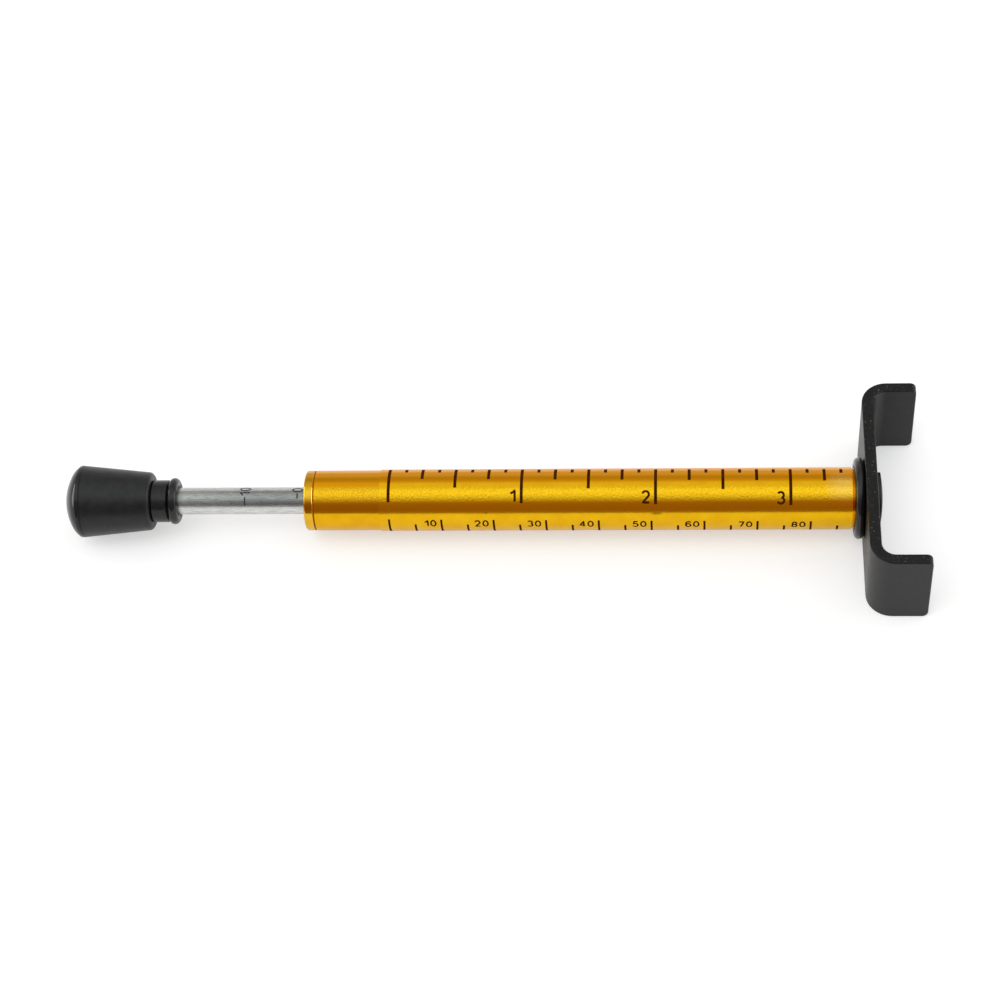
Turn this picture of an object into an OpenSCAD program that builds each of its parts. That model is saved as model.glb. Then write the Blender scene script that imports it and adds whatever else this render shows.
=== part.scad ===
// Pencil-type belt tension tester. A sprung plunger slides in a round barrel. A small
// rubber ring on the plunger marks the force, a large one on the barrel marks the
// deflection, and a bent hook at the far end straddles the belt.
// Lengths are in millimetres. The tester lies along X on the long edge of its hook, with
// the hook at +X and the knob at -X. The origin is under the middle of the whole length.

/* [Knob] */
// Diameter of the knob at its rim
knob_d = 14; // [12.5:0.5:16]
// Diameter of the knob at its front face
knob_front_d = 11.3; // [10:0.1:12]
// Length of the tapered grip, from the rim to the front face
knob_len = 14; // [12:0.5:18]
// Height of the domed thumb face above the rim
dome_h = 3; // [2:0.25:4]
// Radius of the dome's shoulder beside the rim
shoulder_r = 3.5; // [3.2:0.1:4]
// How far in front of the rim the shoulder's centre lies
shoulder_lift = 1.65; // [1.5:0.05:1.8]
// Radius of the rim between the shoulder and the taper
rim_r = 0.25; // [0.1:0.05:0.5]
// Distance from the rim to the fine groove round the taper
rim_groove_x = 0.68; // [0.5:0.02:1]
// Radius of that groove
rim_groove_r = 0.13; // [0.08:0.01:0.2]
// Radius of the edge round the front face
knob_edge_r = 0.9; // [0.4:0.1:1.4]
// Diameter of the insert's neck in front of the knob
neck_d = 8.15; // [7.2:0.05:9]
// Length of the insert's neck
neck_len = 3.2; // [2:0.1:4]
// Diameter of the insert's core inside the knob
core_d = 7; // [6.2:0.1:7.6]
// Length of the insert's core inside the knob
core_len = 9; // [7:0.5:10]

/* [Plunger] */
// Diameter of the plunger rod
rod_d = 5.2; // [4.8:0.1:5.5]
// Length of rod between the neck and the barrel's mouth at rest
rod_out = 26.8; // [24:0.2:34]
// Travel of the plunger from rest to fully pressed
stroke = 24; // [18:0.5:24]
// Diameter of the rod's reduced end in the knob insert
rod_end_d = 4; // [3.4:0.1:4.4]
// Length of the rod's reduced end in the knob insert
rod_end_len = 9; // [6:0.5:10]
// Thickness of the retaining clip
clip_t = 0.7; // [0.5:0.1:1]
// Diameter of the rod at the bottom of the clip's groove
groove_d = 4; // [3.6:0.1:4.4]
// Thickness of the spring follower
follower_t = 2; // [1.5:0.25:3]

/* [Barrel] */
// Outside diameter of the barrel
barrel_d = 11.55; // [11.2:0.05:12.5]
// Wall of the barrel tube
barrel_wall = 1.075; // [0.9:0.025:1.2]
// Length of the barrel tube
barrel_len = 102.5; // [98:0.5:115]
// Thickness of the mouth bush's flange
mouth_flange = 1.85; // [1.4:0.05:2.5]
// Length of the mouth bush inside the barrel
mouth_spigot = 12; // [8:0.5:14]
// Radius of the rounded edge on the mouth bush
mouth_edge_r = 0.5; // [0.2:0.1:0.8]
// Thickness of the rubber bumper behind the mouth bush
bumper_t = 1.5; // [1:0.25:2]
// Thickness of the end plug's flange
plug_flange = 1.75; // [1.4:0.05:2.5]
// Length of the end plug inside the barrel
plug_spigot = 10; // [8:0.5:12]
// Length of the end plug's boss
boss_len = 4; // [3:0.5:6]
// Thickness of the hardened washer under the spring
seat_t = 0.8; // [0.5:0.1:1.2]

/* [Scale film] */
// Thickness of the printed film
film_t = 0.13; // [0.08:0.01:0.2]
// Bare barrel between the mouth bush and the film
film_start = 12.75; // [8:0.25:16]
// Gap between the film's two edges where they meet on the underside
film_seam = 0.8; // [0.4:0.1:2]

/* [Spring] */
// Turns between the closed end turns
active_turns = 20; // [16:1:22]

/* [Rings] */
// Thickness of the force ring's section
force_ring_t = 1.85; // [1.5:0.05:2.2]
// Thickness of the deflection ring's section
deflection_ring_t = 1.8; // [1.5:0.05:2.2]

/* [Hook] */
// Length of the hook across its two tabs
hook_l = 43.3; // [38:0.5:50]
// Width of the hook's strip
hook_w = 16.75; // [16:0.25:20]
// Thickness of the hook's strip
hook_t = 2.2; // [1.8:0.1:2.6]
// Inside radius of the hook's bends
bend_r = 2.6; // [1.5:0.1:3.5]
// Depth of the tab at +Y, from the back of the hook
tab_far = 10.6; // [9:0.2:14]
// Depth of the tab at -Y, from the back of the hook
tab_near = 11.4; // [9:0.2:14]
// Radius of the tabs' corners
tip_r = 1.2; // [0.5:0.1:2]
// Diameter of the rivet's shank
rivet_d = 5; // [4:0.1:5.4]
// Diameter of the rivet's head
head_d = 9.8; // [8:0.2:12]
// Height of the rivet head's straight edge
head_edge = 0.85; // [0.6:0.05:1.2]
// Height of the dome on the rivet's head
head_dome = 0.45; // [0.3:0.05:0.8]
// Length of the rivet's shank inside the end plug
rivet_grip = 8; // [6:0.5:9]
// Thickness of the washer between the end plug and the hook
washer_t = 0.4; // [0.3:0.1:0.8]

/* [Fits] */
// Radial clearance of pieces that slide or turn on one another
running_fit = 0.05; // [0.03:0.01:0.08]
// Radial clearance of the inner pieces in the barrel's bore
bore_clear = 0.2; // [0.1:0.05:0.25]
// Radial clearance between the rod and the spring round it
guide_clear = 0.5; // [0.3:0.05:0.6]
// Radial clearance of the end plug's boss inside the spring
boss_clear = 0.3; // [0.2:0.05:0.5]
// Thickness of the film's adhesive
film_glue = 0.01; // [0.01:0.01:0.02]
// Size of small chamfers
edge = 0.2; // [0.1:0.05:0.3]

/* [Hidden] */
$fn = 64;

// Overlap that lets a cut run clear of the face it starts from
over = 1;

// Radii
rod_r = rod_d / 2;
bore_r = barrel_d / 2 - barrel_wall;
inner_r = bore_r - bore_clear;
spring_inner_r = rod_r + guide_clear;
boss_r = spring_inner_r - boss_clear;
film_inner_r = barrel_d / 2 + film_glue;
film_r = film_inner_r + film_t;
deflection_ring_r = film_r + running_fit + deflection_ring_t;
bend_outer_r = bend_r + hook_t;
head_dome_r = (pow(head_d / 2, 2) + pow(head_dome, 2)) / (2 * head_dome);

// Stations along the axis, from the knob's dome to the tips of the hook
hook_depth = max(tab_far, tab_near);
overall = dome_h + knob_len + neck_len + rod_out + mouth_flange + barrel_len + plug_flange
    + washer_t + hook_depth;
knob_x = -overall / 2;
knob_front_x = knob_x + dome_h + knob_len;
neck_end_x = knob_front_x + neck_len;
mouth_x = neck_end_x + rod_out;
tube_x = mouth_x + mouth_flange;
bumper_x = tube_x + mouth_spigot;
clip_x = bumper_x + bumper_t;
follower_x = clip_x + clip_t;
spring_x = follower_x + follower_t;
tube_end_x = tube_x + barrel_len;
seat_x = tube_end_x - plug_spigot - seat_t;
washer_x = tube_end_x + plug_flange;
hook_x = washer_x + washer_t;
axis_z = max(hook_w / 2, knob_d / 2, deflection_ring_r);

// The rod guides the spring and stops short of the plug's boss when it is fully pressed
rod_tail_gap = 2;
rod_tail_x = tube_end_x - plug_spigot - boss_len - stroke - rod_tail_gap;

// The knob's dome is a sphere that runs tangent into a rounder shoulder, and a small radius
// leads from the shoulder round the rim to the taper
shoulder_centre_r = knob_d / 2 - sqrt(pow(shoulder_r, 2) - pow(shoulder_lift, 2));
shoulder_centre_x = dome_h + shoulder_lift;
dome_r = (pow(shoulder_centre_r, 2) + pow(shoulder_centre_x, 2) - pow(shoulder_r, 2))
    / (2 * (shoulder_centre_x - shoulder_r));
dome_share = dome_r / (dome_r - shoulder_r);
dome_edge_r = shoulder_centre_r * dome_share;
dome_edge_x = dome_r + (shoulder_centre_x - dome_r) * dome_share;
taper = atan((knob_d - knob_front_d) / 2 / (knob_len - knob_edge_r));
rim_lean = acos(((knob_d / 2 - shoulder_centre_r) * cos(taper) - shoulder_lift * sin(taper) - rim_r)
    / (shoulder_r - rim_r)) - taper;
rim_centre_r = shoulder_centre_r + (shoulder_r - rim_r) * cos(rim_lean);
rim_centre_x = shoulder_centre_x - (shoulder_r - rim_r) * sin(rim_lean);

// The spring's wire runs through a closed turn, the active turns and a second closed turn
wire_d = inner_r - spring_inner_r;
wire_r = wire_d / 2;
coil_r = spring_inner_r + wire_r;
wire_sides = 8;
steps_per_turn = 14;
closed_rise = wire_d * 1.02;
spring_seating = 0.02;
spring_len = seat_x - spring_x;
active_rise = (spring_len - wire_d - 2 * spring_seating - 2 * closed_rise) / active_turns;
coil_steps = (active_turns + 2) * steps_per_turn;

// Height of the wire's centre above the follower after a number of turns
function coil_rise(turns) = wire_r + spring_seating
    + closed_rise * min(turns, 1)
    + active_rise * max(0, min(turns - 1, active_turns))
    + closed_rise * max(0, turns - 1 - active_turns);

// One point on the wire's surface, at an angle round the wire
function wire_point(turns, angle) = let (r = coil_r + wire_r * cos(angle))
    [coil_rise(turns) + wire_r * sin(angle), r * cos(turns * 360), r * sin(turns * 360)];

// A revolved profile: its x is the radius and its y runs along the tester from x
module turned(x) {
    translate([x, 0, axis_z])
        rotate([0, 90, 0])
            rotate_extrude()
                children();
}

// A profile drawn across the axis and extruded along the tester from x
module across(x, thickness) {
    translate([x, 0, axis_z])
        rotate([0, 90, 0])
            linear_extrude(thickness)
                children();
}

// Section of a ring with chamfered outer edges
module ring_section(inner, outer, length, chamfer) {
    polygon([
        [inner, 0], [outer - chamfer, 0], [outer, chamfer],
        [outer, length - chamfer], [outer - chamfer, length], [inner, length]
    ]);
}

// Rubber ring of round section round a shaft
module round_ring(x, shaft_r, section) {
    turned(x)
        translate([shaft_r + running_fit + section / 2, 0])
            circle(d = section);
}

module barrel_tube() {
    color("goldenrod")
        turned(tube_x)
            ring_section(bore_r, barrel_d / 2, barrel_len, edge);
}

// Flanged bush pressed into the barrel's mouth, which guides the plunger
module mouth_bush() {
    flange_r = barrel_d / 2;
    guide_r = rod_r + running_fit;
    color("gold")
        turned(mouth_x) {
            polygon([
                [guide_r + edge, 0], [flange_r - mouth_edge_r, 0],
                [flange_r - mouth_edge_r, mouth_edge_r], [flange_r, mouth_edge_r],
                [flange_r, mouth_flange - edge], [flange_r - edge, mouth_flange],
                [bore_r, mouth_flange], [bore_r, mouth_flange + mouth_spigot - edge],
                [bore_r - edge, mouth_flange + mouth_spigot],
                [guide_r, mouth_flange + mouth_spigot], [guide_r, edge]
            ]);
            translate([flange_r - mouth_edge_r, mouth_edge_r])
                circle(mouth_edge_r);
        }
}

// Rubber washer that takes the knock when the plunger springs back
module bush_bumper() {
    color("dimgray")
        turned(bumper_x)
            ring_section(rod_r + bore_clear, inner_r, bumper_t, edge);
}

// Printed film wrapped round the barrel, with its seam on the underside
module scale_film() {
    length = barrel_len - film_start - edge;
    color("orange")
        difference() {
            turned(tube_x + film_start)
                translate([film_inner_r, 0])
                    square([film_t, length]);
            translate([tube_x + film_start - over, -film_seam / 2, axis_z - film_r - over])
                cube([length + 2 * over, film_seam, film_r]);
        }
}

// Flanged plug pressed into the hook end, with a boss inside the spring
module end_plug() {
    rivet_r = rivet_d / 2;
    spigot_x = -plug_spigot;
    color("goldenrod")
        turned(tube_end_x)
            polygon([
                [0, spigot_x - boss_len], [boss_r - edge, spigot_x - boss_len],
                [boss_r, spigot_x - boss_len + edge], [boss_r, spigot_x],
                [bore_r - edge, spigot_x], [bore_r, spigot_x + edge], [bore_r, 0],
                [barrel_d / 2 - edge, 0], [barrel_d / 2, edge], [barrel_d / 2, plug_flange - edge],
                [barrel_d / 2 - edge, plug_flange], [rivet_r, plug_flange],
                [rivet_r, plug_flange - rivet_grip], [0, plug_flange - rivet_grip]
            ]);
}

module spring_seat() {
    color("silver")
        turned(seat_x)
            ring_section(boss_r + running_fit, inner_r, seat_t, edge);
}

// Coil spring with closed ends, swept as rings of points along the wire
module main_spring() {
    points = [
        for (step = [0 : coil_steps], side = [0 : wire_sides - 1])
            wire_point(step / steps_per_turn, side * 360 / wire_sides)
    ];
    skin = [
        for (step = [0 : coil_steps - 1], side = [0 : wire_sides - 1])
            let (next = (side + 1) % wire_sides, ring = step * wire_sides)
                [ring + side, ring + wire_sides + side, ring + wire_sides + next, ring + next]
    ];
    start_cap = [[for (side = [0 : wire_sides - 1]) side]];
    end_cap = [[for (side = [wire_sides - 1 : -1 : 0]) coil_steps * wire_sides + side]];
    color("slategray")
        translate([spring_x, 0, axis_z])
            polyhedron(points, concat(skin, start_cap, end_cap));
}

// Domed rivet: the hook turns on its shank, which is pressed into the end plug
module hook_rivet() {
    shank_r = rivet_d / 2;
    head_x = hook_t + running_fit;
    shank_x = -washer_t - rivet_grip;
    color("black")
        turned(hook_x) {
            polygon([
                [0, shank_x], [shank_r - edge, shank_x], [shank_r, shank_x + edge],
                [shank_r, head_x], [head_d / 2 - edge, head_x], [head_d / 2, head_x + edge],
                [head_d / 2, head_x + head_edge], [0, head_x + head_edge]
            ]);
            intersection() {
                translate([0, head_x + head_edge + head_dome - head_dome_r])
                    circle(head_dome_r, $fn = 128);
                translate([0, head_x + head_edge / 2])
                    square([head_d / 2, head_edge + head_dome]);
            }
        }
}

module hook_washer() {
    color("dimgray")
        turned(washer_x)
            translate([rivet_d / 2 + running_fit, 0])
                square([(barrel_d - rivet_d) / 2 - running_fit - edge, washer_t]);
}

// Ring between the clip and the spring, which turns freely on the rod
module spring_follower() {
    color("silver")
        turned(follower_x)
            ring_section(rod_r + running_fit, inner_r, follower_t, edge);
}

// Rod with a reduced end for the knob, a groove for the clip and a chamfered tail
module plunger_rod() {
    groove_start = clip_x - neck_end_x - running_fit;
    groove_end = groove_start + clip_t + 2 * running_fit;
    tail = rod_tail_x - neck_end_x;
    tail_chamfer = rod_r / 3;
    color("lightgray")
        turned(neck_end_x)
            polygon([
                [0, -rod_end_len], [rod_end_d / 2 - edge, -rod_end_len],
                [rod_end_d / 2, edge - rod_end_len], [rod_end_d / 2, 0], [rod_r, 0],
                [rod_r, groove_start], [groove_d / 2, groove_start],
                [groove_d / 2, groove_end], [rod_r, groove_end],
                [rod_r, tail - tail_chamfer], [rod_r - tail_chamfer, tail], [0, tail]
            ]);
}

// Open clip with three prongs that reach into the rod's groove
module retaining_clip() {
    rim = inner_r / 3.5;
    prong = inner_r / 2.5;
    opening = groove_d * 0.85;
    color("silver")
        across(clip_x, clip_t)
            difference() {
                union() {
                    difference() {
                        circle(inner_r);
                        circle(inner_r - rim);
                    }
                    for (turn = [75, 180, 285])
                        rotate(turn)
                            translate([0, -prong / 2])
                                square([inner_r - rim / 2, prong]);
                }
                circle(groove_d / 2 + running_fit);
                translate([0, -opening / 2])
                    square([inner_r + over, opening]);
            }
}

// Core of the knob's insert, with a groove that keys it to the knob
module insert_core() {
    core_r = core_d / 2;
    key_len = core_len / 4;
    key_depth = core_r / 6;
    polygon([
        [0, -core_len], [core_r, -core_len], [core_r, key_len - core_len],
        [core_r - key_depth, key_len - core_len], [core_r - key_depth, 2 * key_len - core_len],
        [core_r, 2 * key_len - core_len], [core_r, 0], [0, 0]
    ]);
}

// Black metal hub moulded into the knob, whose neck shows in front of it
module knob_insert() {
    color("black")
        turned(knob_front_x)
            difference() {
                union() {
                    insert_core();
                    ring_section(0, neck_d / 2, neck_len, edge);
                }
                translate([0, neck_len - rod_end_len])
                    square([rod_end_d / 2, rod_end_len + over]);
            }
}

// Tapered knob with a domed thumb face and a fine groove behind its rim
module knob() {
    front_r = knob_front_d / 2;
    front = dome_h + knob_len;
    shoulder_end_x = rim_centre_x - rim_r * sin(rim_lean);
    color("#2b2b2c")
        turned(knob_x)
            difference() {
                union() {
                    intersection() {
                        translate([0, dome_r])
                            circle(dome_r, $fn = 128);
                        square([knob_d, dome_edge_x]);
                    }
                    intersection() {
                        translate([shoulder_centre_r, shoulder_centre_x])
                            circle(shoulder_r, $fn = 128);
                        translate([dome_edge_r / 2, dome_edge_x])
                            square([knob_d, shoulder_end_x - dome_edge_x]);
                    }
                    translate([rim_centre_r, rim_centre_x])
                        circle(rim_r);
                    polygon([
                        [0, dome_edge_x], [dome_edge_r, dome_edge_x],
                        [rim_centre_r + rim_r * cos(rim_lean), shoulder_end_x],
                        [rim_centre_r, rim_centre_x],
                        [rim_centre_r + rim_r * cos(taper), rim_centre_x + rim_r * sin(taper)],
                        [front_r, front - knob_edge_r],
                        [front_r - knob_edge_r, front - knob_edge_r],
                        [front_r - knob_edge_r, front], [0, front]
                    ]);
                    translate([front_r - knob_edge_r, front - knob_edge_r])
                        circle(knob_edge_r);
                }
                translate([0, front])
                    insert_core();
                translate([knob_d / 2 - rim_groove_x * tan(taper), dome_h + rim_groove_x])
                    circle(rim_groove_r);
            }
}

// Small rubber ring pushed up the rod by the mouth, which keeps the force reading
module force_ring() {
    color("#1c1c1c")
        round_ring(neck_end_x + running_fit + force_ring_t / 2, rod_r, force_ring_t);
}

// Large rubber ring on the barrel, which is set to the deflection wanted
module deflection_ring() {
    color("#1c1c1c")
        round_ring(hook_x - running_fit - deflection_ring_t / 2, film_r, deflection_ring_t);
}

// Quarter bend of the strip, from the back of the hook into a tab at +Y
module hook_bend() {
    translate([bend_outer_r, hook_l / 2 - bend_outer_r])
        intersection() {
            difference() {
                circle(bend_outer_r);
                circle(bend_r);
            }
            translate([-bend_outer_r, 0])
                square(bend_outer_r);
        }
}

// The bent strip seen along its width
module hook_outline() {
    translate([0, bend_outer_r - hook_l / 2])
        square([hook_t, hook_l - 2 * bend_outer_r]);
    hook_bend();
    mirror([0, 1])
        hook_bend();
    translate([bend_outer_r, hook_l / 2 - hook_t])
        square([tab_far - bend_outer_r, hook_t]);
    translate([bend_outer_r, -hook_l / 2])
        square([tab_near - bend_outer_r, hook_t]);
}

// What is cut away to round the two corners of a tab, with the tip at x
module tab_corners(x, y) {
    for (side = [0, 1])
        translate([x, y, hook_w / 2])
            mirror([0, 0, side])
                translate([-tip_r, 0, hook_w / 2 - tip_r])
                    rotate([90, 0, 0])
                        linear_extrude(hook_t + 2 * over, center = true)
                            difference() {
                                square(tip_r + over);
                                circle(tip_r);
                            }
}

module hook_plate() {
    color("#2e2e2e")
        translate([hook_x, 0, axis_z - hook_w / 2])
            difference() {
                linear_extrude(hook_w)
                    hook_outline();
                tab_corners(tab_far, (hook_l - hook_t) / 2);
                tab_corners(tab_near, (hook_t - hook_l) / 2);
                translate([-over, 0, hook_w / 2])
                    rotate([0, 90, 0])
                        cylinder(hook_t + 2 * over, d = rivet_d + 2 * running_fit);
            }
}

barrel_tube();
mouth_bush();
bush_bumper();
scale_film();
end_plug();
spring_seat();
main_spring();
hook_rivet();
hook_washer();
spring_follower();
plunger_rod();
retaining_clip();
knob_insert();
knob();
force_ring();
deflection_ring();
hook_plate();
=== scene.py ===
"""Looks of a pencil-type belt tension tester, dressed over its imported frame."""

import logging
import math
from collections.abc import Callable, Iterable, Iterator, Mapping
from contextlib import contextmanager
from dataclasses import dataclass
from enum import Enum
from typing import Any

import bmesh
import bpy
from mathutils import Matrix, Vector


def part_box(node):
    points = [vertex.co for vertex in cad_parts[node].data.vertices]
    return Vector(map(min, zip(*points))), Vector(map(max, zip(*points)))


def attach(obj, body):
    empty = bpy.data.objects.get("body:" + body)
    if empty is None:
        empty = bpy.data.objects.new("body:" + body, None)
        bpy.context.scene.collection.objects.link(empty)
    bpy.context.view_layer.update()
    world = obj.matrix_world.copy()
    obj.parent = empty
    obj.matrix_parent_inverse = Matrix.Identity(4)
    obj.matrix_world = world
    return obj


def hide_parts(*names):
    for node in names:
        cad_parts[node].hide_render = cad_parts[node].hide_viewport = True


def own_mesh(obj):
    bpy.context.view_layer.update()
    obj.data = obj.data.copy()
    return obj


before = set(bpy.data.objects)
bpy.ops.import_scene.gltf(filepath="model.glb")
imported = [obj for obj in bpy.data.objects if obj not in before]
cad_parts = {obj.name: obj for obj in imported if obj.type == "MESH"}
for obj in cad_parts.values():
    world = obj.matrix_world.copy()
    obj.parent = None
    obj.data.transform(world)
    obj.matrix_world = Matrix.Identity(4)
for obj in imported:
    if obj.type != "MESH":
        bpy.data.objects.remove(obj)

MM = 0.001
# Distance under which two points of a mesh are one
MERGE = 0.001 * MM
# Levels between which nearly all of a noise lies
NOISE_SPAN = (0.3, 0.7)
LOG = logging.getLogger("tester")

Colour = tuple[float, float, float, float]
Point = tuple[float, float, float]
Span = tuple[float, float]
Tree = bpy.types.NodeTree
Socket = bpy.types.NodeSocket
Piece = bpy.types.Object


def linear(code: str) -> Colour:
    """Turn an sRGB colour into linear light.

    Args:
        code: Colour as "#RRGGBB".

    Returns:
        Red, green and blue in linear light, and full alpha.
    """
    shares = [int(code[i:i + 2], 16) / 255 for i in (1, 3, 5)]
    light = [s / 12.92 if s <= 0.04045 else ((s + 0.055) / 1.055) ** 2.4 for s in shares]
    return (light[0], light[1], light[2], 1.0)


def add_node(
    tree: Tree,
    kind: str,
    settings: Mapping[str, Any] | None = None,
    inputs: Mapping[str | int, Any] | None = None,
) -> bpy.types.Node:
    """Add a node to a tree, set it up and link its inputs.

    Args:
        tree: Node tree that takes the node.
        kind: Blender's name for the kind of node.
        settings: Properties of the node by name.
        inputs: Values, or sockets to link from, by the input's name or number.

    Returns:
        The new node.
    """
    node = tree.nodes.new(kind)
    for name, value in (settings or {}).items():
        setattr(node, name, value)
    for name, value in (inputs or {}).items():
        socket = node.inputs[name]
        if isinstance(value, Socket):
            tree.links.new(value, socket)
        else:
            socket.default_value = value
    return node


def empty_tree(owner: bpy.types.Material | bpy.types.World) -> Tree:
    """Give a material or a world nodes of its own.

    Args:
        owner: The material or the world.

    Returns:
        Its node tree, with no node in it.
    """
    owner.use_nodes = True
    owner.node_tree.nodes.clear()
    return owner.node_tree


def maths(tree: Tree, operation: str, *values: Socket | float) -> Socket:
    """Add a node that reckons with one to three numbers."""
    node = add_node(tree, "ShaderNodeMath", {"operation": operation}, dict(enumerate(values)))
    return node.outputs["Value"]


def ramped(
    tree: Tree,
    value: Socket,
    start: float,
    end: float,
    low: float = 0.0,
    high: float = 1.0,
    curve: str = "LINEAR",
) -> Socket:
    """Map a number from one span to another, and hold it at the ends.

    Args:
        tree: Node tree of the material.
        value: The number.
        start: Where it starts.
        end: Where it ends.
        low: What it gives at its start.
        high: What it gives at its end.
        curve: Blender's name for the way between them.

    Returns:
        The mapped number.
    """
    node = add_node(tree, "ShaderNodeMapRange", {"interpolation_type": curve}, {
        "Value": value, "From Min": start, "From Max": end, "To Min": low, "To Max": high,
    })
    return node.outputs["Result"]


def mixed(
    tree: Tree, share: Socket, under: Socket | Colour, over: Socket | Colour, blend: str = "MIX"
) -> Socket:
    """Mix two colours.

    Args:
        tree: Node tree of the material.
        share: Share of the second colour.
        under: The first colour.
        over: The second colour.
        blend: Blender's name for the way in which they mix.

    Returns:
        The mixed colour.
    """
    node = add_node(tree, "ShaderNodeMix", {"data_type": "RGBA", "blend_type": blend}, {
        "Factor": share, "A": under, "B": over,
    })
    return node.outputs["Result"]


def axes(tree: Tree, place: Socket) -> bpy.types.NodeOutputs:
    """Split coordinates into X, Y and Z."""
    return add_node(tree, "ShaderNodeSeparateXYZ", None, {0: place}).outputs


def drawn_along(tree: Tree, place: Socket, times: float) -> Socket:
    """Draw a pattern out along the barrel, so many times longer than it was."""
    node = add_node(tree, "ShaderNodeMapping", None, {
        "Vector": place, "Scale": (1 / times, 1.0, 1.0),
    })
    return node.outputs["Vector"]


def noise(tree: Tree, place: Socket, width_mm: float) -> Socket:
    """Add an even noise from 0 to 1, with flecks of a given width."""
    node = add_node(tree, "ShaderNodeTexNoise", None, {
        "Vector": place, "Scale": 1 / (width_mm * MM), "Detail": 2.0,
    })
    return node.outputs["Fac"]


@dataclass(frozen=True)
class Finish:
    """A surface: two close colours in soft patches, and a fine grain that the light catches.

    Attributes:
        name: Real material and how its surface was made.
        light: Paler of its two colours.
        dark: Deeper of its two colours.
        patch_mm: Width of a patch of colour.
        grain_mm: Width of a grain.
        grain_depth_mm: Height of a grain.
        roughness: Roughness of the smoothest and of the dullest grains.
        metallic: 1 for bare metal, 0 for paint, plastic and rubber.
        specular: Strength of the gloss on a surface that isn't metal.
        coat: Share of clear coat over the colour.
        coat_roughness: Roughness of that coat.
        drawn_out: How many times longer the patches are along the barrel than round it.
    """

    name: str
    light: str
    dark: str
    patch_mm: float
    grain_mm: float
    grain_depth_mm: float
    roughness: Span
    metallic: float = 0.0
    specular: float = 0.5
    coat: float = 0.0
    coat_roughness: float = 0.1
    drawn_out: float = 1.0

    def material(self) -> bpy.types.Material:
        """Make the material, or find it if it is already made.

        Returns:
            The material, shared by all the pieces that have this finish.
        """
        made = bpy.data.materials.get(self.name)
        if made:
            return made
        made = bpy.data.materials.new(self.name)
        tree = empty_tree(made)
        place = add_node(tree, "ShaderNodeTexCoord").outputs["Object"]
        grain = noise(tree, place, self.grain_mm)
        bump = add_node(tree, "ShaderNodeBump", None, {
            "Height": self.relief(tree, place, grain), "Distance": MM, "Strength": 1.0,
        })
        shader = add_node(tree, "ShaderNodeBsdfPrincipled", None, {
            "Base Color": self.colour(tree, place),
            "Metallic": self.metallic,
            "Specular IOR Level": self.specular,
            "Coat Weight": self.coat,
            "Coat Roughness": self.coat_roughness,
            "Roughness": self.dullness(tree, place, grain),
            "Normal": bump.outputs["Normal"],
        })
        add_node(tree, "ShaderNodeOutputMaterial", None, {"Surface": shader.outputs["BSDF"]})
        return made

    def colour(self, tree: Tree, place: Socket) -> Socket:
        """Mix the two colours in patches.

        Args:
            tree: Node tree of the material.
            place: Coordinates in metres.

        Returns:
            The surface's own colour.
        """
        patch = noise(tree, drawn_along(tree, place, self.drawn_out), self.patch_mm)
        share = ramped(tree, patch, *NOISE_SPAN)
        return mixed(tree, share, linear(self.dark), linear(self.light))

    def dullness(self, tree: Tree, place: Socket, grain: Socket) -> Socket:
        """Spread the roughness over the grains, whatever the place."""
        return ramped(tree, grain, *NOISE_SPAN, *self.roughness)

    def relief(self, tree: Tree, place: Socket, grain: Socket) -> Socket:
        """Give the grain its height in millimetres, whatever the place."""
        return maths(tree, "MULTIPLY", grain, self.grain_depth_mm)


@dataclass(frozen=True)
class Scuff:
    """A small mark of handling.

    Attributes:
        centre: Middle of the mark.
        half_size: Half its size along each axis.
        colour: Colour at its heart.
        heart: Share of its size that its heart takes up.
    """

    centre: Point
    half_size: Point
    colour: str
    heart: float = 0.3

    def strength(self, tree: Tree, place: Socket) -> Socket:
        """Find the mark on a surface.

        Args:
            tree: Node tree of the material.
            place: Coordinates in metres.

        Returns:
            1 at its heart, fading to 0 at its edge.
        """
        apart = add_node(tree, "ShaderNodeVectorMath", {"operation": "SUBTRACT"}, {
            0: place, 1: self.centre,
        })
        scaled = add_node(tree, "ShaderNodeVectorMath", {"operation": "DIVIDE"}, {
            0: apart.outputs["Vector"], 1: self.half_size,
        })
        away = add_node(tree, "ShaderNodeVectorMath", {"operation": "LENGTH"}, {
            0: scaled.outputs["Vector"],
        })
        return ramped(tree, away.outputs["Value"], 1.0, self.heart)


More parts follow.
